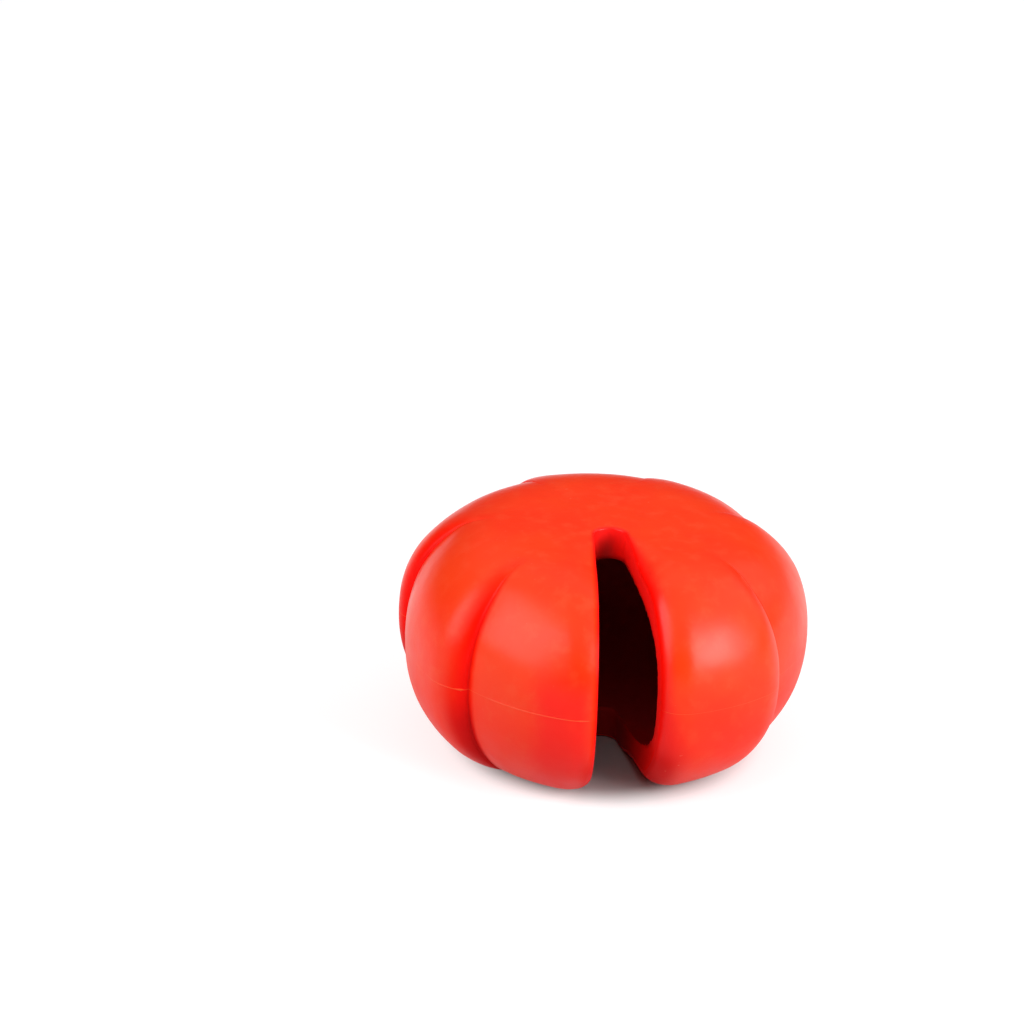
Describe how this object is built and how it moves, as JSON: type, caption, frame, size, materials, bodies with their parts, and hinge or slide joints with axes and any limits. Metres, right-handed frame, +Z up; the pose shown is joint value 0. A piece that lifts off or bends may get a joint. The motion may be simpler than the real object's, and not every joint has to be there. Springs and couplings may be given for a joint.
{
  "type": "treat dispensing chew toy",
  "caption": "Hollow lobed rubber ball with a wedge-shaped mouth that flexes to take in and release dry treats.",
  "frame": {"origin": "middle of the toy's footprint, on the floor it rests on", "axes": "+Z up along the ball's axis, -Y out of the mouth, +X to the right of the mouth as seen from in front of it"},
  "size_m": [0.0708, 0.07, 0.0402],
  "materials": {
    "rubber": "satin moulded natural rubber, orange-red"
  },
  "bodies": {
    "left_jaw": {"upper_left_jaw": "rubber", "lower_left_jaw": "rubber", "upper_spine": "rubber", "lower_spine": "rubber"},
    "right_jaw": {"upper_right_jaw": "rubber", "lower_right_jaw": "rubber"}
  },
  "joints": [
    {"name": "mouth_flex", "type": "hinge", "parent": "left_jaw", "child": "right_jaw", "pos_m": [-0.0008, 0.0193, 0.0201], "axis": [0, 0, 1], "range_deg": [-11, 12], "stiffness_Nm_per_rad": 6, "deforming": ["upper_spine", "lower_spine"]}
  ]
}
